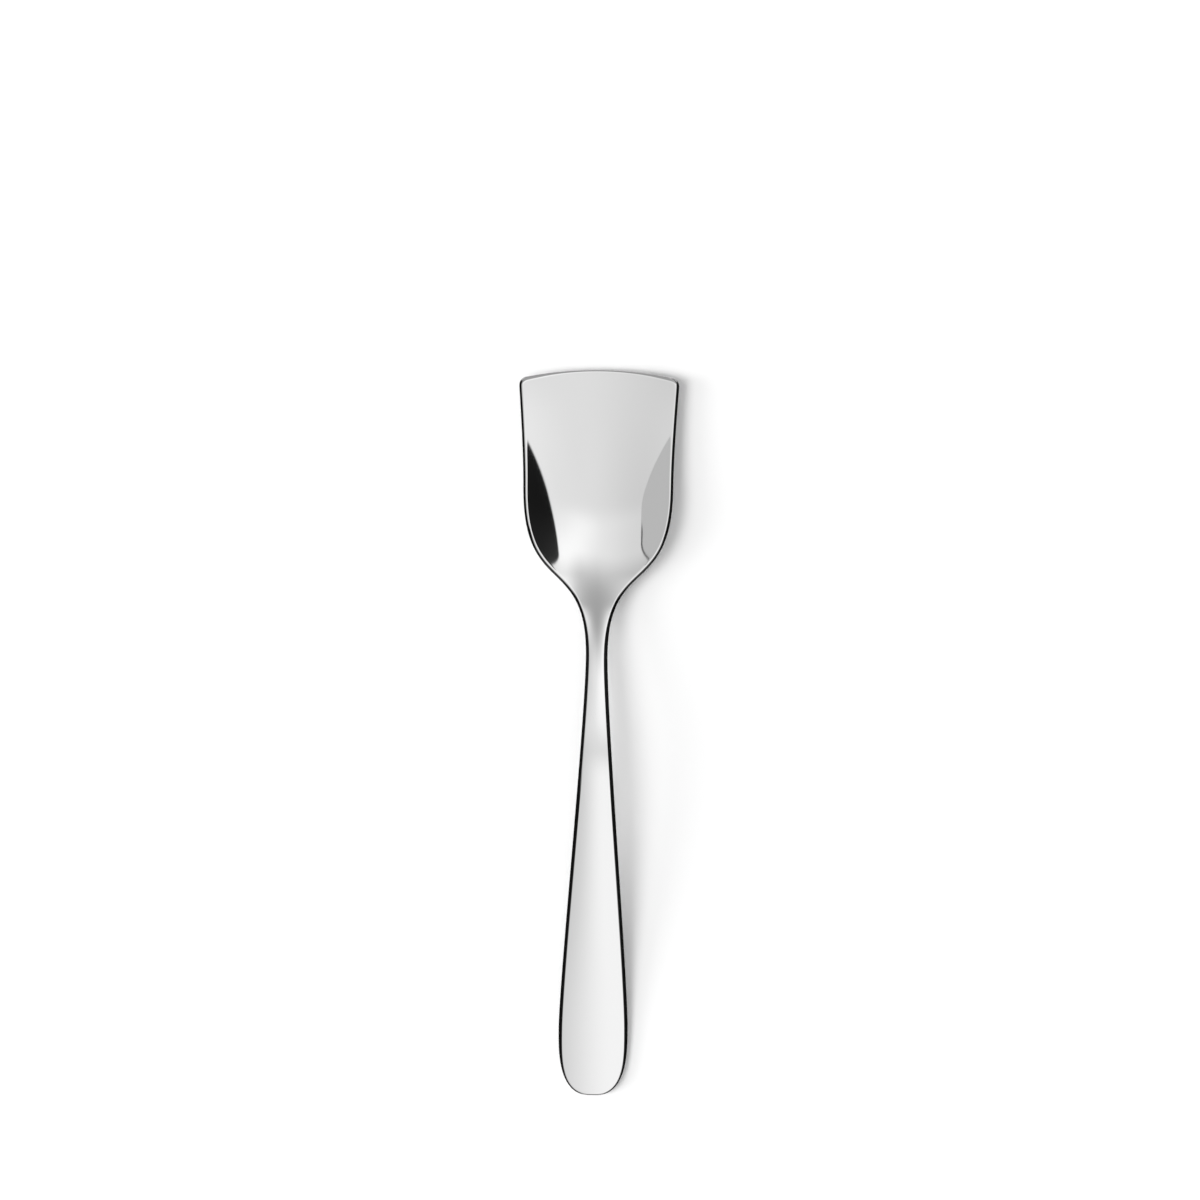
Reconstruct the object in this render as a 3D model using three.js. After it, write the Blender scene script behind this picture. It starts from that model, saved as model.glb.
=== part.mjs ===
// An ice cream spoon in one piece of stainless steel. A blank is cut to its plan, rolled thin at the bowl, pressed into
// a trough that opens out towards the front edge, and bent into an arch. All its edges are rolled over and bevelled.
// Units are millimetres. X runs across the spoon, +Y from the handle's end to the bowl's front edge, and +Z up.
// The origin is on the table that the spoon lies on, under the middle of its length.
import * as THREE from "three";

// Plan of the blank
const SPOON_LENGTH = 135;
const FRONT_WIDTH = 30; // across the two front corners
const FRONT_EDGE_RADIUS = 65; // the front edge is bowed
const FRONT_CORNER_REACH = 1.6; // how far a corner's rounding runs along each edge
const WAIST_WIDTH = 27.9; // across the bowl where its sides run straight back
const WAIST_FROM_FRONT = 22;
const FLARE_REACH = 6; // how far the sides stay straight in front of the waist
const SHOULDER_REACH = 20.5; // pull of the shoulder's curve at the waist
const NECK_WIDTH = 4;
const NECK_FROM_FRONT = 53;
const NECK_REACH_TO_BOWL = 18.5; // pull of the shoulder's curve at the neck
const NECK_REACH_TO_HANDLE = 12.5;
const HANDLE_WIDTH = 12.9; // at its widest, near the end
const HANDLE_REACH = 9.5;
const HANDLE_END_LENGTH = 12; // from the widest place to the tip
const HANDLE_END_FULLNESS = 2.7; // 2 would make the end an ellipse

// Side view
const BOWL_LOW_FROM_FRONT = 25; // where the bowl touches the table
const FRONT_EDGE_LIFT = 0.5; // of the front edge's underside above the table
const FLOOR_BEND = 8; // length over which the bowl's floor turns up towards the front
const CREST_FROM_FRONT = 72;
const CREST_HEIGHT = 10; // top of the arch above the table
const HANDLE_REST_FROM_END = 4.5; // where the handle touches the table
const REST_FLAT_DEPTH = 0.08; // what lying on tables has worn flat

// Thickness
const FRONT_EDGE_THICKNESS = 1.2;
const BOWL_THICKNESS = 1.4;
const NECK_THICKNESS = 3.2;
const HANDLE_THICKNESS = 2.5;
const HANDLE_END_THICKNESS = 2.1;

// Trough of the bowl, which is deepest at the heel
const FRONT_TROUGH_RADIUS = 54;
const HEEL_TROUGH_RADIUS = 20.7;
const HEEL_FROM_FRONT = 38;

// Crown of the handle
const CROWN_REACH = 9; // the crown starts this far in front of the neck
const NECK_CROWN_RADIUS = 4;
const CREST_CROWN_RADIUS = 12;
const HANDLE_CROWN_RADIUS = 32;

// Edges
const EDGE_SLOPE = 0.9; // of the bevel along an edge
const EDGE_RADIUS = 0.2; // of the roll from a face to the bevel
const FRONT_EDGE_BEVEL = 0.15;
const FRONT_BEVEL_REACH = 2.2; // over which the front edge's bevel widens at the corners
const BOWL_EDGE_BEVEL = 0.45;
const HANDLE_EDGE_BEVEL = 0.55;
const HANDLE_END_BEVEL = 0.22;

// Facets
const COLUMNS = 39;
const CORNER_ROWS = 5;
const SIDE_ROWS = 14;
const SHOULDER_ROWS = 26;
const HANDLE_ROWS = 20;
const END_ROWS = 12;

const FRONT_Y = SPOON_LENGTH / 2;
const END_Y = -SPOON_LENGTH / 2;
const WAIST_Y = FRONT_Y - WAIST_FROM_FRONT;
const NECK_Y = FRONT_Y - NECK_FROM_FRONT;
const WIDEST_Y = END_Y + HANDLE_END_LENGTH;
const BOWL_LOW_Y = FRONT_Y - BOWL_LOW_FROM_FRONT;
const CREST_Y = FRONT_Y - CREST_FROM_FRONT;
const HANDLE_REST_Y = END_Y + HANDLE_REST_FROM_END;
const HEEL_Y = FRONT_Y - HEEL_FROM_FRONT;
const CROWN_START_Y = NECK_Y + CROWN_REACH;

const { lerp, smoothstep } = THREE.MathUtils;

// A value that passes smoothly from station to station. Each station is [y, value], from the front back.
function along(y, stations) {
  let value = stations[0][1];
  for (let i = 1; i < stations.length; i++) {
    const [fromY] = stations[i - 1];
    const [toY, toValue] = stations[i];
    value = lerp(value, toValue, 1 - smoothstep(y, toY, fromY));
  }
  return value;
}

// How far the bowed front edge falls back at x from its foremost point.
function frontEdgeFall(x) {
  return FRONT_EDGE_RADIUS - Math.sqrt(FRONT_EDGE_RADIUS ** 2 - x ** 2);
}

// The right-hand edge in plan, from the front corner to the handle's tip.
function rightHandEdge() {
  const frontX = FRONT_WIDTH / 2 - FRONT_CORNER_REACH;
  const cornerStart = new THREE.Vector2(frontX, FRONT_Y - frontEdgeFall(frontX));
  const corner = new THREE.Vector2(FRONT_WIDTH / 2, FRONT_Y - frontEdgeFall(FRONT_WIDTH / 2));
  const flare = new THREE.Vector2(WAIST_WIDTH / 2, WAIST_Y + FLARE_REACH);
  const cornerEnd = flare.clone().sub(corner).setLength(FRONT_CORNER_REACH).add(corner);
  const waist = new THREE.Vector2(WAIST_WIDTH / 2, WAIST_Y);
  const shoulderOut = new THREE.Vector2(WAIST_WIDTH / 2, WAIST_Y - SHOULDER_REACH);
  const shoulderIn = new THREE.Vector2(NECK_WIDTH / 2, NECK_Y + NECK_REACH_TO_BOWL);
  const neck = new THREE.Vector2(NECK_WIDTH / 2, NECK_Y);
  const handleIn = new THREE.Vector2(NECK_WIDTH / 2, NECK_Y - NECK_REACH_TO_HANDLE);
  const handleOut = new THREE.Vector2(HANDLE_WIDTH / 2, WIDEST_Y + HANDLE_REACH);
  const widest = new THREE.Vector2(HANDLE_WIDTH / 2, WIDEST_Y);
  const points = [cornerStart];
  points.push(...new THREE.QuadraticBezierCurve(cornerStart, corner, cornerEnd).getPoints(CORNER_ROWS).slice(1));
  points.push(...new THREE.QuadraticBezierCurve(cornerEnd, flare, waist).getPoints(SIDE_ROWS).slice(1));
  points.push(...new THREE.CubicBezierCurve(waist, shoulderOut, shoulderIn, neck).getPoints(SHOULDER_ROWS).slice(1));
  points.push(...new THREE.CubicBezierCurve(neck, handleIn, handleOut, widest).getPoints(HANDLE_ROWS).slice(1));
  for (let row = 1; row <= END_ROWS; row++) {
    const angle = (row / END_ROWS) * (Math.PI / 2);
    const across = row === END_ROWS ? 0 : Math.cos(angle) ** (2 / HANDLE_END_FULLNESS);
    const back = Math.sin(angle) ** (2 / HANDLE_END_FULLNESS);
    points.push(new THREE.Vector2((HANDLE_WIDTH / 2) * across, WIDEST_Y - HANDLE_END_LENGTH * back));
  }
  return points;
}

// Thickness in the middle of the spoon.
function thicknessAt(y) {
  return along(y, [
    [FRONT_Y, FRONT_EDGE_THICKNESS],
    [BOWL_LOW_Y, BOWL_THICKNESS],
    [NECK_Y, NECK_THICKNESS],
    [WIDEST_Y, HANDLE_THICKNESS],
    [END_Y, HANDLE_END_THICKNESS],
  ]);
}

// Height of the middle of the steel along the spoon's centre line.
function spineHeight(y) {
  const low = BOWL_THICKNESS / 2 - REST_FLAT_DEPTH;
  if (y > BOWL_LOW_Y) {
    const ramp = (run) => Math.hypot(run, FLOOR_BEND) - FLOOR_BEND;
    const frontHeight = FRONT_EDGE_LIFT + FRONT_EDGE_THICKNESS / 2;
    return low + ((frontHeight - low) * ramp(y - BOWL_LOW_Y)) / ramp(BOWL_LOW_FROM_FRONT);
  }
  return along(y, [
    [BOWL_LOW_Y, low],
    [CREST_Y, CREST_HEIGHT - thicknessAt(CREST_Y) / 2],
    [HANDLE_REST_Y, thicknessAt(HANDLE_REST_Y) / 2 - REST_FLAT_DEPTH],
  ]);
}

// Curvature of the bowl across its width.
function troughAt(y) {
  return along(y, [
    [FRONT_Y, 1 / FRONT_TROUGH_RADIUS],
    [HEEL_Y, 1 / HEEL_TROUGH_RADIUS],
    [NECK_Y, 0],
  ]);
}

// Curvature of the crowned neck and handle across their width; the bowl's sheet has none.
function crownAt(y) {
  return along(y, [
    [CROWN_START_Y, 0],
    [NECK_Y, 1 / NECK_CROWN_RADIUS],
    [CREST_Y, 1 / CREST_CROWN_RADIUS],
    [WIDEST_Y, 1 / HANDLE_CROWN_RADIUS],
  ]);
}

// How far a face has fallen at a distance from the cut edge, where its slope turns by a given amount.
function edgeDrop(y, distance, turn) {
  const bevel = along(y, [
    [FRONT_Y, FRONT_EDGE_BEVEL],
    [FRONT_Y - FRONT_BEVEL_REACH, BOWL_EDGE_BEVEL],
    [CROWN_START_Y, BOWL_EDGE_BEVEL],
    [NECK_Y, HANDLE_EDGE_BEVEL],
    [END_Y + HANDLE_END_LENGTH, HANDLE_EDGE_BEVEL],
    [END_Y, HANDLE_END_BEVEL],
  ]);
  const roll = EDGE_RADIUS * turn;
  if (distance < bevel) return turn * (roll / 2 + bevel - distance);
  return Math.max(0, bevel + roll - distance) ** 2 / (2 * EDGE_RADIUS);
}

// Heights of the upper face and of the underside at a distance from the cut edge.
function faceHeights(x, y, distance) {
  const middle = spineHeight(y) + (troughAt(y) * x ** 2) / 2;
  const half = thicknessAt(y) / 2 - (crownAt(y) * x ** 2) / 2;
  const wallSlope = troughAt(y) * Math.abs(x);
  const crownSlope = crownAt(y) * Math.abs(x);
  const upperDrop = edgeDrop(y, distance, Math.max(0, EDGE_SLOPE + wallSlope - crownSlope));
  const underRise = edgeDrop(y, distance, Math.max(0, EDGE_SLOPE - wallSlope - crownSlope));
  return [middle + half - upperDrop, Math.max(0, middle - half + underRise)];
}

// Rows of places in plan, from the front edge back. The last row is the tip alone.
function planRows() {
  const edge = rightHandEdge();
  const cornerEndY = edge[CORNER_ROWS].y;
  return edge.map((side) => {
    const bowed = smoothstep(side.y, WAIST_Y, cornerEndY);
    const row = [];
    for (let column = 0; column <= COLUMNS; column++) {
      const x = side.x * Math.sin((column / COLUMNS - 0.5) * Math.PI);
      row.push(new THREE.Vector3(x, side.y + bowed * (frontEdgeFall(side.x) - frontEdgeFall(x)), 0));
    }
    return side.x > 0 ? row : [row[0]];
  });
}

// Straight lines all along the cut edge in plan: across the front, then down the left and the right to the tip.
function cutEdges(rows) {
  const lines = [];
  for (let column = 0; column < COLUMNS; column++) lines.push(new THREE.Line3(rows[0][column], rows[0][column + 1]));
  for (let row = 1; row < rows.length; row++) {
    lines.push(new THREE.Line3(rows[row - 1][0], rows[row][0]));
    lines.push(new THREE.Line3(rows[row - 1].at(-1), rows[row].at(-1)));
  }
  return lines;
}

// The upper face and the underside are the same grid of rows and columns, joined by a narrow band along the cut edge.
function spoonGeometry() {
  const rows = planRows();
  const edges = cutEdges(rows);
  const nearest = new THREE.Vector3();
  const distanceTo = (line, place) => line.closestPointToPoint(place, true, nearest).distanceTo(place);
  const positions = [];
  const addPoint = (x, y, z) => positions.push(x, y, z) / 3 - 1;
  const faces = rows.map((row) =>
    row.map((place) => {
      const distance = Math.min(...edges.map((line) => distanceTo(line, place)));
      const [upper, under] = faceHeights(place.x, place.y, distance);
      return [addPoint(place.x, place.y, upper), addPoint(place.x, place.y, under)];
    }),
  );
  const indices = [];
  const addTriangle = (a, b, c) => {
    if (a !== b && b !== c && c !== a) indices.push(a, b, c);
  };
  const addQuad = (a, b, c, d) => {
    addTriangle(a, b, c);
    addTriangle(a, c, d);
  };
  const at = (row, column) => faces[row][Math.min(column, faces[row].length - 1)];
  for (let row = 1; row < rows.length; row++) {
    for (let column = 0; column < COLUMNS; column++) {
      const corners = [at(row - 1, column), at(row, column), at(row, column + 1), at(row - 1, column + 1)];
      addQuad(...corners.map(([upper]) => upper));
      addQuad(...corners.map(([, under]) => under).reverse());
    }
    const [leftBefore, left] = [at(row - 1, 0), at(row, 0)];
    const [rightBefore, right] = [at(row - 1, COLUMNS), at(row, COLUMNS)];
    addQuad(leftBefore[0], leftBefore[1], left[1], left[0]);
    addQuad(rightBefore[1], rightBefore[0], right[0], right[1]);
  }
  for (let column = 0; column < COLUMNS; column++) {
    const [left, right] = [at(0, column), at(0, column + 1)];
    addQuad(left[1], left[0], right[0], right[1]);
  }
  const geometry = new THREE.BufferGeometry();
  geometry.setAttribute("position", new THREE.Float32BufferAttribute(positions, 3));
  geometry.setIndex(indices);
  geometry.computeVertexNormals();
  return geometry;
}

const steel = new THREE.MeshStandardMaterial({ color: 0xc8cacb, metalness: 1, roughness: 0.12 });
const spoon = new THREE.Mesh(spoonGeometry(), steel);
spoon.name = "spoon";

const object = new THREE.Group();
object.name = "ice_cream_spoon";
object.add(spoon);

export default object;
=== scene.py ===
"""A polished steel ice cream spoon that lies on a white table and is seen from straight above.

Lengths are in metres. X runs across the spoon, +Y from the handle's end to the bowl's front edge, and +Z up.
"""
from math import cos, hypot, pi, radians, sin, sqrt

import bmesh
import bpy
from mathutils import Euler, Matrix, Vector
from mathutils.geometry import interpolate_bezier
from mathutils.kdtree import KDTree


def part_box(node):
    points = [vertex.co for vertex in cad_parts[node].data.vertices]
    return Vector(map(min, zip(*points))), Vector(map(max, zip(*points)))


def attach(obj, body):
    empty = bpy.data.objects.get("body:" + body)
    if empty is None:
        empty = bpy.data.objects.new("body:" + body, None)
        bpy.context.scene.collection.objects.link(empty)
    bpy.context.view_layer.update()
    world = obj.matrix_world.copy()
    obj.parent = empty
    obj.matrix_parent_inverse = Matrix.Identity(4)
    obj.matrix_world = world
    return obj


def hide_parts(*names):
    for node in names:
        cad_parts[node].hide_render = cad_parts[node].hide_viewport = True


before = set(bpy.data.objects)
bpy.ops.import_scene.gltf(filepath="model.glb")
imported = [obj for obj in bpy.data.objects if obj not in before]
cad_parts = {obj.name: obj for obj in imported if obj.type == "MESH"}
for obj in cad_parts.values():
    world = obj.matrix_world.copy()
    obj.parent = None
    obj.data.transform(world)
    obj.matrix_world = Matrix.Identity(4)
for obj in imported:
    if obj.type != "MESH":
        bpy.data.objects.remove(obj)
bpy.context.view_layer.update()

# Plan of the blank
END_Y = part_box("spoon")[0].y
FRONT_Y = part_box("spoon")[1].y
FRONT_WIDTH = 0.0300
FRONT_EDGE_RADIUS = 0.065
FRONT_CORNER_REACH = 0.0016
WAIST_WIDTH = 0.0279
WAIST_Y = FRONT_Y - 0.022
FLARE_REACH = 0.006
SHOULDER_REACH = 0.0205
NECK_WIDTH = 0.0040
NECK_Y = FRONT_Y - 0.053
NECK_REACH_TO_BOWL = 0.0185
NECK_REACH_TO_HANDLE = 0.0125
HANDLE_WIDTH = 0.0129
HANDLE_REACH = 0.0095
HANDLE_END_LENGTH = 0.012
WIDEST_Y = END_Y + HANDLE_END_LENGTH
HANDLE_END_FULLNESS = 2.7

# Side view
BOWL_LOW_Y = FRONT_Y - 0.025
FRONT_EDGE_LIFT = 0.0005
FLOOR_BEND = 0.008
CREST_Y = FRONT_Y - 0.072
CREST_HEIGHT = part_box("spoon")[1].z
HANDLE_REST_Y = END_Y + 0.0045
REST_FLAT_DEPTH = 0.00008

# Thickness
FRONT_EDGE_THICKNESS = 0.0012
BOWL_THICKNESS = 0.0014
NECK_THICKNESS = 0.0032
HANDLE_THICKNESS = 0.0025
HANDLE_END_THICKNESS = 0.0021

# Trough of the bowl, which is deepest at the heel
FRONT_TROUGH_RADIUS = 0.054
HEEL_TROUGH_RADIUS = 0.0207
HEEL_Y = FRONT_Y - 0.038

# Crown of the handle and rounding of the edges
NECK_CROWN_RADIUS = 0.004
CREST_CROWN_RADIUS = 0.012
HANDLE_CROWN_RADIUS = 0.032
CROWN_START_Y = NECK_Y + 0.009
EDGE_SLOPE = 0.90
EDGE_RADIUS = 0.0002
FRONT_EDGE_BEVEL = 0.00015
FRONT_BEVEL_REACH = 0.0022
BOWL_EDGE_BEVEL = 0.00045
HANDLE_EDGE_BEVEL = 0.00055
HANDLE_END_BEVEL = 0.00022

# Rows and columns of the blank
COLUMNS = 72
CORNER_ROWS = 8
SIDE_ROWS = 16
SHOULDER_ROWS = 30
HANDLE_ROWS = 26
END_ROWS = 18
ROWS_SHORT_OF_TIP = 0.1
BLANK_THICKNESS = 0.001
OUTLINE_STEP = 0.00004

# Polish of the steel
STEEL_GREY = 0.777
GREY_CHANGE = 0.008
MARKS_PER_METRE = (9000, 300, 9000)
MARK_HEIGHT = 0.0000001
WAVES_PER_METRE = 150.0
WAVE_HEIGHT = 0.000004
HAZE_PER_METRE = 60.0

# Studio that the steel mirrors, in slopes: how far right or ahead a thing is for each metre that it is up
BOX_LEFT = -0.66
BOX_LEFT_TAPER = 0.48
BOX_LEFT_FLARE = (0.47, 1.0)
BOX_RIGHT = 0.80
BOX_RIGHT_FLARE = (0.52, 0.85)
BOX_BACK = (-2.0, -1.5)
BOX_FAR_END = (0.41, 0.66)
HOT_SPOT = {"middle": (0.60, 0.50), "squash": 2, "radius": 0.6, "strength": 0.2}
GLOW = {"middle": (0.30, 0.28), "squash": 1.6, "radius": 0.45, "strength": 0.13}

# Brightness of the studio
BOX_LEFT_TONE = 0.775
BOX_RIGHT_TONE = 0.965
FAR_END_TONE = 0.40
CARD_TONE = 0.6
ROOM_AHEAD_TONE = 0.27
ROOM_SIDE_TONE = 0.012
WALL_TONE = 0.45

# Table
TABLE_SIDE = 8
TABLE_WHITE = (0.83, 0.83, 0.83, 1)
LAMP_FROM_BEHIND = radians(8)

# Framing of the photograph, in its pixels, and the camera
PHOTO_SIDE = 1200
PHOTO_SPOON_LENGTH = 725.5
PHOTO_SPOON_MIDDLE = (596.0, 732.5)
CAMERA_HEIGHT = 0.8
CAMERA_ROLL = radians(-0.55)
SENSOR_MILLIMETRES = 36
OUTLINE_HEIGHT = 0.0015


def smoothstep(value, low, high):
    share = min(1, max(0, (value - low) / (high - low)))
    return share * share * (3 - 2 * share)


def along(y, stations):
    """A value that passes smoothly from station to station; each is (y, value), from the front back."""
    value = stations[0][1]
    for (front, _), (back, back_value) in zip(stations, stations[1:]):
        value += (back_value - value) * (1 - smoothstep(y, back, front))
    return value


def front_edge_fall(x):
    """How far the bowed front edge falls back at x from its foremost point."""
    return FRONT_EDGE_RADIUS - sqrt(FRONT_EDGE_RADIUS ** 2 - x ** 2)


def bend(start, pull, end, steps):
    """Points of a curve that leaves start towards pull and reaches end from pull, without its first point."""
    return interpolate_bezier(start, start.lerp(pull, 2 / 3), end.lerp(pull, 2 / 3), end, steps + 1)[1:]


def sweep(start, start_pull, end_pull, end, steps):
    """Points of a curve from start to end, with a pull at each, without its first point."""
    return interpolate_bezier(start, start_pull, end_pull, end, steps + 1)[1:]


def right_hand_edge():
    """Half-width and y of each row of the blank, from the front edge to the handle's tip."""
    front_x = FRONT_WIDTH / 2 - FRONT_CORNER_REACH
    corner_start = Vector((front_x, FRONT_Y - front_edge_fall(front_x)))
    corner = Vector((FRONT_WIDTH / 2, FRONT_Y - front_edge_fall(FRONT_WIDTH / 2)))
    flare = Vector((WAIST_WIDTH / 2, WAIST_Y + FLARE_REACH))
    corner_end = corner + (flare - corner).normalized() * FRONT_CORNER_REACH
    waist = Vector((WAIST_WIDTH / 2, WAIST_Y))
    shoulder_out = waist - Vector((0, SHOULDER_REACH))
    neck = Vector((NECK_WIDTH / 2, NECK_Y))
    shoulder_in = neck + Vector((0, NECK_REACH_TO_BOWL))
    handle_in = neck - Vector((0, NECK_REACH_TO_HANDLE))
    widest = Vector((HANDLE_WIDTH / 2, WIDEST_Y))
    handle_out = widest + Vector((0, HANDLE_REACH))
    edge = [corner_start]
    edge += bend(corner_start, corner, corner_end, CORNER_ROWS)
    edge += bend(corner_end, flare, waist, SIDE_ROWS)
    edge += sweep(waist, shoulder_out, shoulder_in, neck, SHOULDER_ROWS)
    edge += sweep(neck, handle_in, handle_out, widest, HANDLE_ROWS)
    for row in range(1, END_ROWS + 1):
        angle = row / (END_ROWS + ROWS_SHORT_OF_TIP) * pi / 2
        across = cos(angle) ** (2 / HANDLE_END_FULLNESS)
        back = sin(angle) ** (2 / HANDLE_END_FULLNESS)
        edge.append(Vector((across * HANDLE_WIDTH / 2, WIDEST_Y - back * HANDLE_END_LENGTH)))
    return edge


def thickness_at(y):
    stations = [(FRONT_Y, FRONT_EDGE_THICKNESS), (BOWL_LOW_Y, BOWL_THICKNESS), (NECK_Y, NECK_THICKNESS)]
    stations += [(WIDEST_Y, HANDLE_THICKNESS), (END_Y, HANDLE_END_THICKNESS)]
    return along(y, stations)


def spine_height(y):
    """Height of the middle of the steel along the centre line."""
    low = BOWL_THICKNESS / 2 - REST_FLAT_DEPTH
    if y > BOWL_LOW_Y:
        run = hypot(y - BOWL_LOW_Y, FLOOR_BEND) - FLOOR_BEND
        whole_run = hypot(FRONT_Y - BOWL_LOW_Y, FLOOR_BEND) - FLOOR_BEND
        return low + (FRONT_EDGE_LIFT + FRONT_EDGE_THICKNESS / 2 - low) * run / whole_run
    crest = CREST_HEIGHT - thickness_at(CREST_Y) / 2
    rest = thickness_at(HANDLE_REST_Y) / 2 - REST_FLAT_DEPTH
    return along(y, [(BOWL_LOW_Y, low), (CREST_Y, crest), (HANDLE_REST_Y, rest)])


def trough_at(y):
    """Curvature of the bowl across its width."""
    return along(y, [(FRONT_Y, 1 / FRONT_TROUGH_RADIUS), (HEEL_Y, 1 / HEEL_TROUGH_RADIUS), (NECK_Y, 0)])


def crown_at(y):
    """Curvature of the crowned handle across its width; the bowl's sheet has none."""
    stations = [(CROWN_START_Y, 0), (NECK_Y, 1 / NECK_CROWN_RADIUS), (CREST_Y, 1 / CREST_CROWN_RADIUS)]
    return along(y, stations + [(WIDEST_Y, 1 / HANDLE_CROWN_RADIUS)])


def edge_drop(y, distance, turn):
    """How far a face has fallen at a distance from the cut edge, where its slope turns by a given amount."""
    bevel = along(y, [
        (FRONT_Y, FRONT_EDGE_BEVEL),
        (FRONT_Y - FRONT_BEVEL_REACH, BOWL_EDGE_BEVEL),
        (CROWN_START_Y, BOWL_EDGE_BEVEL),
        (NECK_Y, HANDLE_EDGE_BEVEL),
        (WIDEST_Y, HANDLE_EDGE_BEVEL),
        (END_Y, HANDLE_END_BEVEL),
    ])
    roll = EDGE_RADIUS * turn
    if distance < bevel:
        return turn * (roll / 2 + bevel - distance)
    return max(0, bevel + roll - distance) ** 2 / (2 * EDGE_RADIUS)


def face_height(x, y, distance, up):
    """Height of the upper face, or of the underside, at a distance from the cut edge."""
    middle = spine_height(y) + trough_at(y) * x ** 2 / 2
    half = thickness_at(y) / 2 - crown_at(y) * x ** 2 / 2
    wall_slope = trough_at(y) * abs(x)
    crown_slope = crown_at(y) * abs(x)
    if up:
        return middle + half - edge_drop(y, distance, max(0, EDGE_SLOPE + wall_slope - crown_slope))
    return max(0, middle - half + edge_drop(y, distance, max(0, EDGE_SLOPE - wall_slope - crown_slope)))


def select_vertices(piece, wanted):
    """Selects in edit mode just the vertices whose place is wanted."""
    mesh = bmesh.from_edit_mesh(piece.data)
    for vertex in mesh.verts:
        vertex.select = wanted(vertex.co)
    mesh.select_flush_mode()
    bmesh.update_edit_mesh(piece.data)


def press(piece, direction, amount, share_at):
    """Moves the steel along an axis by a share of an amount, which differs from place to place."""
    group = piece.vertex_groups.new(name="pressed")
    for vertex in piece.data.vertices:
        group.add([vertex.index], share_at(vertex.co), "REPLACE")
    modifier = piece.modifiers.new("press", "DISPLACE")
    modifier.direction = direction
    modifier.vertex_group = group.name
    modifier.mid_level = 0
    modifier.strength = amount
    bpy.ops.object.modifier_apply(modifier=modifier.name)
    piece.vertex_groups.clear()


def cut_blank(edge):
    """A flat sheet. A half circle pressed flat is its front edge, which is drawn back row by row."""
    bpy.ops.object.select_all(action="DESELECT")
    bpy.ops.mesh.primitive_circle_add(vertices=2 * COLUMNS, radius=1)
    blank = bpy.context.object
    bpy.ops.object.mode_set(mode="EDIT")
    select_vertices(blank, lambda co: co.y < -1e-4)
    bpy.ops.mesh.delete(type="VERT")
    bpy.ops.mesh.select_all(action="SELECT")
    bpy.ops.transform.resize(value=(edge[0].x, 0, 1), center_override=(0, 0, 0))
    bpy.ops.transform.translate(value=(0, edge[0].y, 0))
    for last, row in zip(edge, edge[1:]):
        bpy.ops.mesh.extrude_region_move(TRANSFORM_OT_translate={"value": (0, row.y - last.y, 0)})
        bpy.ops.transform.resize(value=(row.x / last.x, 1, 1), center_override=(0, 0, 0))
    bpy.ops.object.mode_set(mode="OBJECT")
    return blank


def bow_front_edge(blank, edge):
    """Bows the rows of the bowl forwards, by less and less towards the waist."""
    half_width_at = {round(row.y, 6): row.x for row in edge}
    most_fall = front_edge_fall(FRONT_WIDTH / 2)

    def share_at(co):
        half_width = half_width_at[round(co.y, 6)]
        bowed = smoothstep(co.y, WAIST_Y, edge[CORNER_ROWS].y)
        return bowed * (front_edge_fall(half_width) - front_edge_fall(co.x)) / most_fall

    press(blank, "Y", most_fall, share_at)


def outline_of(blank):
    """Places all along the cut edge of the blank, close enough together to measure from."""
    mesh = bmesh.new()
    mesh.from_mesh(blank.data)
    places = []
    for cut in mesh.edges:
        if cut.is_boundary:
            start, end = (vertex.co for vertex in cut.verts)
            steps = 1 + int(cut.calc_length() / OUTLINE_STEP)
            places += [start.lerp(end, step / steps) for step in range(steps + 1)]
    mesh.free()
    outline = KDTree(len(places))
    for number, place in enumerate(places):
        outline.insert(place, number)
    outline.balance()
    return outline


def make_spoon():
    """The blank is cut, bowed, made a sheet with two faces, and pressed to shape from both sides."""
    edge = right_hand_edge()
    spoon = cut_blank(edge)
    spoon.name = "spoon_polished"
    bow_front_edge(spoon, edge)
    outline = outline_of(spoon)
    press_travel = 2 * CREST_HEIGHT

    bpy.ops.object.mode_set(mode="EDIT")
    bpy.ops.mesh.select_all(action="SELECT")
    bpy.ops.mesh.extrude_region_move(TRANSFORM_OT_translate={"value": (0, 0, -BLANK_THICKNESS)})
    bpy.ops.object.mode_set(mode="OBJECT")

    def share_at(co):
        distance = outline.find((co.x, co.y, 0))[2]
        up = co.z > -BLANK_THICKNESS / 2
        return (face_height(co.x, co.y, distance, up) - co.z) / press_travel

    press(spoon, "Z", press_travel, share_at)
    polished = spoon.modifiers.new("polished", "SUBSURF")
    polished.levels = polished.render_levels = 1
    bpy.ops.object.modifier_apply(modifier=polished.name)
    bpy.ops.object.mode_set(mode="EDIT")
    bpy.ops.mesh.select_all(action="SELECT")
    bpy.ops.mesh.normals_make_consistent(inside=False)
    bpy.ops.object.mode_set(mode="OBJECT")
    bpy.ops.object.shade_smooth()
    return spoon


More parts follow.
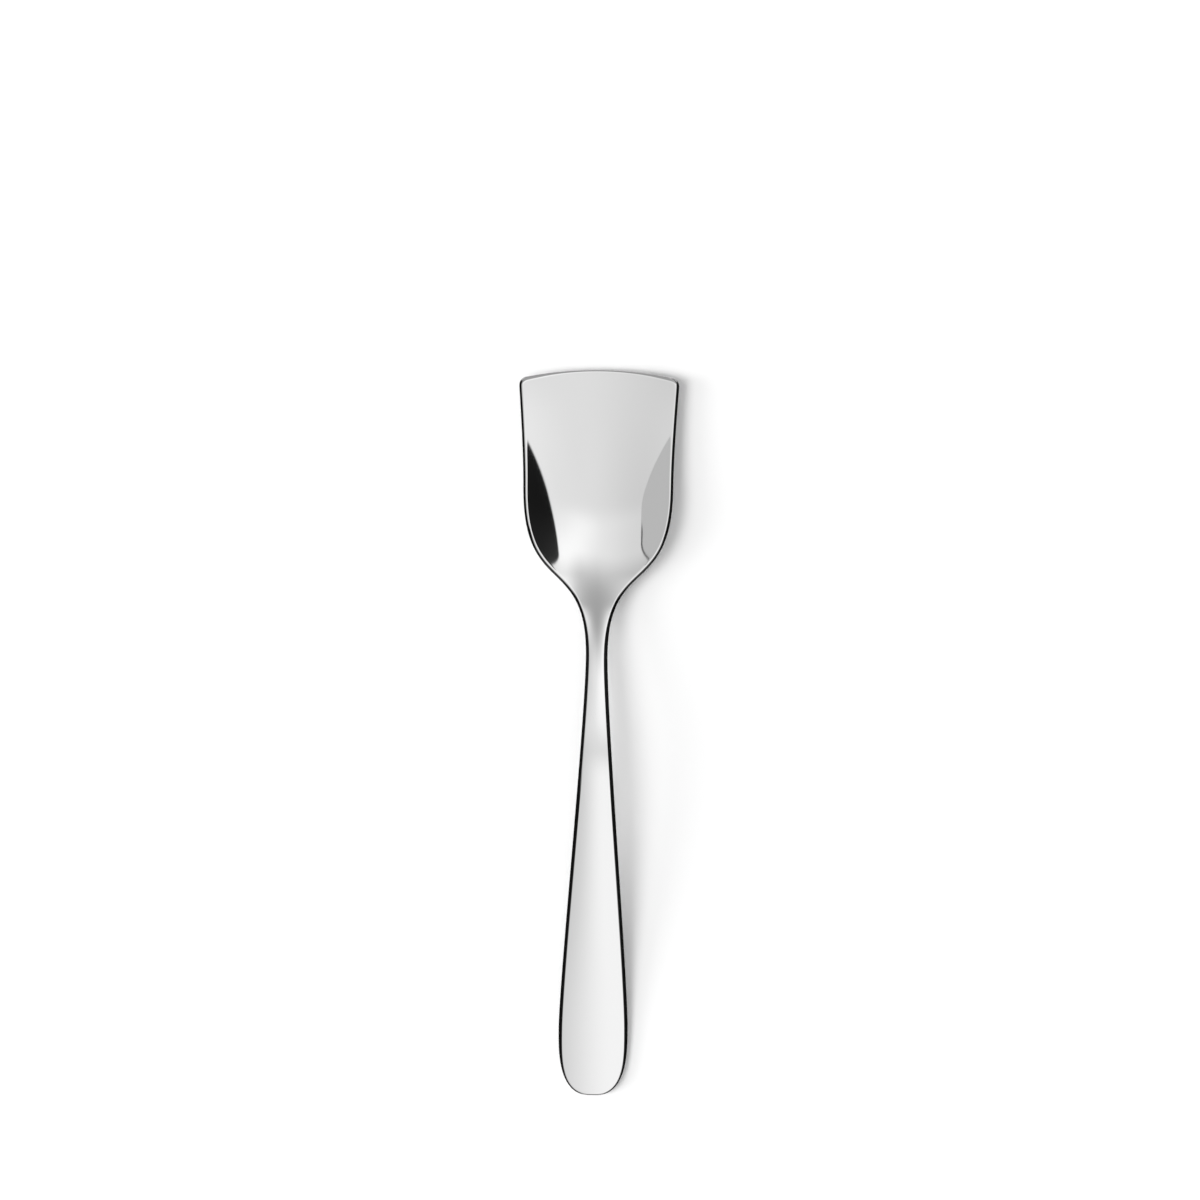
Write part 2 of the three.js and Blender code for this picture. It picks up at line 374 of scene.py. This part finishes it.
class Wire:
    """A socket of a node tree, on which arithmetic adds Math nodes."""

    def __init__(self, tree, socket):
        self.tree = tree
        self.socket = socket

    def math(self, operation, *values):
        return self.tree.add("ShaderNodeMath", {"operation": operation}, values)

    def __add__(self, other):
        return self.math("ADD", self, other)

    __radd__ = __add__

    def __sub__(self, other):
        return self.math("SUBTRACT", self, other)

    def __rsub__(self, other):
        return self.math("SUBTRACT", other, self)

    def __mul__(self, other):
        return self.math("MULTIPLY", self, other)

    __rmul__ = __mul__

    def __truediv__(self, other):
        return self.math("DIVIDE", self, other)

    def __rtruediv__(self, other):
        return self.math("DIVIDE", other, self)

    def __abs__(self):
        return self.math("ABSOLUTE", self)

    def __pow__(self, other):
        return self.math("POWER", self, other)

    def atleast(self, other):
        return self.math("MAXIMUM", self, other)

    def step(self, low, high, low_value=0.0, high_value=1.0):
        """Goes smoothly from one value to another between low and high."""
        settings = {"interpolation_type": "SMOOTHSTEP"}
        return self.tree.add("ShaderNodeMapRange", settings, (self, low, high, low_value, high_value))


class Nodes:
    """A node tree that nodes are added to."""

    def __init__(self, owner):
        owner.use_nodes = True
        self.tree = owner.node_tree

    def add(self, kind, settings=None, sockets=(), output=0):
        """One new node: its settings are set first, then its sockets, by order or by name."""
        node = self.tree.nodes.new(kind)
        for name, value in (settings or {}).items():
            setattr(node, name, value)
        self.join(node, sockets)
        return Wire(self, node.outputs[output]) if node.outputs else node

    def join(self, node, sockets):
        """Gives a node's sockets values or links."""
        for name, value in sockets.items() if isinstance(sockets, dict) else enumerate(sockets):
            if isinstance(value, Wire):
                self.tree.links.new(value.socket, node.inputs[name])
            else:
                node.inputs[name].default_value = value


def steel_material():
    """Mirror-polished steel with fine lengthwise polishing marks and the slight waviness of a pressed sheet."""
    material = bpy.data.materials.new("polished_steel")
    nodes = Nodes(material)
    place = nodes.add("ShaderNodeTexCoord", output="Object")
    along_spoon = nodes.add("ShaderNodeMapping", None, {"Vector": place, "Scale": MARKS_PER_METRE})
    marks = nodes.add("ShaderNodeTexNoise", None, {"Vector": along_spoon, "Scale": 1.0, "Detail": 3.0})
    waves = nodes.add("ShaderNodeTexNoise", None, {"Vector": place, "Scale": WAVES_PER_METRE, "Detail": 1.0})
    haze = nodes.add("ShaderNodeTexNoise", None, {"Vector": place, "Scale": HAZE_PER_METRE, "Detail": 4.0})
    grey = STEEL_GREY + GREY_CHANGE * haze + GREY_CHANGE * marks
    colour = nodes.add("ShaderNodeCombineColor", None, [grey, grey, grey])
    roughness = 0.02 + 0.03 * haze + 0.02 * marks
    height = WAVE_HEIGHT * waves + MARK_HEIGHT * marks
    normal = nodes.add("ShaderNodeBump", None, {"Strength": 1.0, "Distance": 1.0, "Height": height})
    shader = nodes.tree.nodes["Principled BSDF"]
    nodes.join(shader, {"Base Color": colour, "Metallic": 1.0, "Roughness": roughness, "Normal": normal})
    return material


def box_left_side(right, ahead):
    """How far right of the soft box's left edge a place is; the edge slants, and flares at its far end."""
    return right - BOX_LEFT + BOX_LEFT_TAPER * abs(ahead) + ahead.step(*BOX_LEFT_FLARE)


def soft_box(right, ahead):
    """The overhead soft box: 1 inside it and 0 outside."""
    right_of_left_edge = box_left_side(right, ahead).step(-0.01, 0.01)
    right_of_right_edge = (right - BOX_RIGHT - ahead.step(*BOX_RIGHT_FLARE)).step(-0.02, 0.02)
    return right_of_left_edge * (1 - right_of_right_edge) * ahead.step(*BOX_BACK)


def soft_spot(right, ahead, middle, squash, radius, strength):
    """A spot of the soft box that is brighter, most so in its middle."""
    away = ((right - middle[0]) ** 2 + (squash * (ahead - middle[1])) ** 2) ** 0.5
    return away.step(0, radius, strength, 0)


def soft_box_tone(right, ahead):
    """How bright the soft box is: dimmer on the left and at its far end, brighter on the right and behind."""
    tone = right.step(-0.8, 0.2, BOX_LEFT_TONE, BOX_RIGHT_TONE) + ahead.step(0.0, 0.25, -0.055, 0.06)
    tone = tone + soft_spot(right, ahead, **HOT_SPOT) + soft_spot(right, ahead, **GLOW)
    tone = tone + (1 - ahead.step(-0.15, 0.03)) * right.step(-0.45, 0.25, 0.02, 0.235)
    far_shift = 0.1 * (0 - right).atleast(0) + right.step(0.3, 0.9, 0, 0.12)
    far_end = (ahead - far_shift).step(*BOX_FAR_END) * right.step(0.1, 0.9, 1, 0.6)
    return tone * (1 - far_end) + FAR_END_TONE * far_end


def grey_card(right, ahead, turn, z):
    """A grey card to the left of the soft box, beside the bowl: 1 on it and 0 off it."""
    right_of_card = (box_left_side(right, ahead) + ahead.step(0.25, 0.40, 0, 0.03)).step(-0.01, 0.01)
    return (1 - right_of_card) * turn.step(-0.16, -0.08) * z.step(0.34, 0.40)


def room_tone(x, y, z, turn):
    """The room beyond: dark at both sides, grey ahead, and with a paler wall behind."""
    sideways = abs(x) / (x * x + y * y).atleast(1e-6) ** 0.5
    room = sideways.step(0.2, 1.0, ROOM_AHEAD_TONE, ROOM_SIDE_TONE) * turn.step(-0.5, 0.5, 0.4, 1)
    wall = z.step(0.2, 0.35) * turn.step(-0.6, -0.2, WALL_TONE, 0)
    return room.atleast(wall)


def studio_world():
    """The studio that the steel mirrors; the camera itself sees white beyond the table."""
    world = bpy.data.worlds.new("studio")
    bpy.context.scene.world = world
    nodes = Nodes(world)
    nodes.tree.nodes.clear()
    direction = nodes.add("ShaderNodeTexCoord", output="Generated")
    x, y, z = (nodes.add("ShaderNodeSeparateXYZ", None, [direction], axis) for axis in "XYZ")
    height = z.atleast(0.001)
    right = x / height
    ahead = y / height
    turn = y / abs(x).atleast(0.001)
    box = soft_box(right, ahead)
    card = grey_card(right, ahead, turn, z)
    beside_box = card * CARD_TONE + (1 - card) * room_tone(x, y, z, turn)
    light = box * soft_box_tone(right, ahead) + (1 - box) * beside_box

    seen = nodes.add("ShaderNodeBackground", None, {"Color": (1, 1, 1, 1), "Strength": 1.0})
    lighting = nodes.add("ShaderNodeBackground", None, {"Color": (1, 1, 1, 1), "Strength": light})
    camera_ray = nodes.add("ShaderNodeLightPath", output="Is Camera Ray")
    mixed = nodes.add("ShaderNodeMixShader", None, [camera_ray, lighting, seen])
    nodes.add("ShaderNodeOutputWorld", None, {"Surface": mixed})


def make_floor():
    bpy.ops.object.select_all(action="DESELECT")
    bpy.ops.mesh.primitive_plane_add(size=TABLE_SIDE)
    floor = bpy.context.object
    floor.name = "table"
    material = bpy.data.materials.new("white_table")
    nodes = Nodes(material)
    shader = nodes.tree.nodes["Principled BSDF"]
    nodes.join(shader, {"Base Color": TABLE_WHITE, "Roughness": 0.9, "Specular IOR Level": 0.0})
    floor.data.materials.append(material)


def soft_lamp(name, energy, tilt, angle):
    """A broad lamp that shines from the left and a little from behind, and that the steel doesn't mirror."""
    lamp = bpy.data.lights.new(name, "SUN")
    lamp.energy = energy
    lamp.angle = radians(angle)
    placed = bpy.data.objects.new(name, lamp)
    bpy.context.scene.collection.objects.link(placed)
    placed.rotation_euler = Euler((LAMP_FROM_BEHIND, radians(-tilt), 0))
    placed.visible_glossy = False


def make_camera():
    """A camera straight above, which frames the spoon as the photograph does."""
    camera_data = bpy.data.cameras.new("camera")
    camera = bpy.data.objects.new("camera", camera_data)
    bpy.context.scene.collection.objects.link(camera)
    bpy.context.scene.camera = camera
    metres_per_pixel = (FRONT_Y - END_Y) / PHOTO_SPOON_LENGTH
    across = (PHOTO_SIDE / 2 - PHOTO_SPOON_MIDDLE[0]) * metres_per_pixel
    ahead = (PHOTO_SPOON_MIDDLE[1] - PHOTO_SIDE / 2) * metres_per_pixel
    turned = Euler((0, 0, -CAMERA_ROLL))
    place = Vector((across, ahead, CAMERA_HEIGHT))
    place.rotate(turned)
    camera.location = place
    camera.rotation_euler = turned
    camera_data.sensor_width = SENSOR_MILLIMETRES
    distance = CAMERA_HEIGHT - OUTLINE_HEIGHT
    camera_data.lens = SENSOR_MILLIMETRES * distance / (PHOTO_SIDE * metres_per_pixel)
    camera_data.clip_end = 50


spoon = make_spoon()
spoon.data.materials.append(steel_material())
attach(spoon, "root")
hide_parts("spoon")
make_floor()
studio_world()
soft_lamp("key", energy=1.6, tilt=32, angle=30)
soft_lamp("low", energy=1.9, tilt=68, angle=34)
make_camera()
bpy.context.scene.view_settings.view_transform = "Standard"
